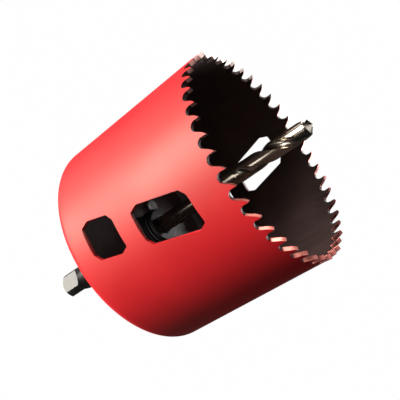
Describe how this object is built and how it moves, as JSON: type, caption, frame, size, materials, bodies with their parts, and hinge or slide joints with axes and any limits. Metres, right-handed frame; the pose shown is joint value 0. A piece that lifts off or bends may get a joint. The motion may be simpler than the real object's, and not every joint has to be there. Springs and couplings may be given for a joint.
{
  "type": "hole saw",
  "caption": "Toothed steel cup with leaning side windows on a flatted-shank arbor with a twist pilot drill, for cutting round holes.",
  "frame": {"origin": "centre of the shank's end face, the lowest point of the tool held teeth up", "axes": "+Z along the tool's axis from the shank to the teeth; the two columns of windows face -Y and +Y"},
  "size_m": [0.0888, 0.0888, 0.1363],
  "materials": {
    "saw_shell": "gloss red paint, bare steel on the ground teeth",
    "end_cap": "gloss red paint",
    "arbor": "black oxide, bright ground flats",
    "drive_plate": "zinc plated steel",
    "drive_pin": "ground steel",
    "lock_nut": "black oxide, knurled",
    "pilot_drill": "polished high speed steel with a straw tint",
    "drill_set_screw": "black oxide"
  },
  "bodies": {
    "root": {"saw_shell": "saw_shell", "end_cap": "end_cap", "arbor": "arbor", "drive_plate": "drive_plate", "drive_pin_a": "drive_pin", "drive_pin_b": "drive_pin", "lock_nut": "lock_nut", "pilot_drill": "pilot_drill", "drill_set_screw": "drill_set_screw"}
  },
  "joints": []
}
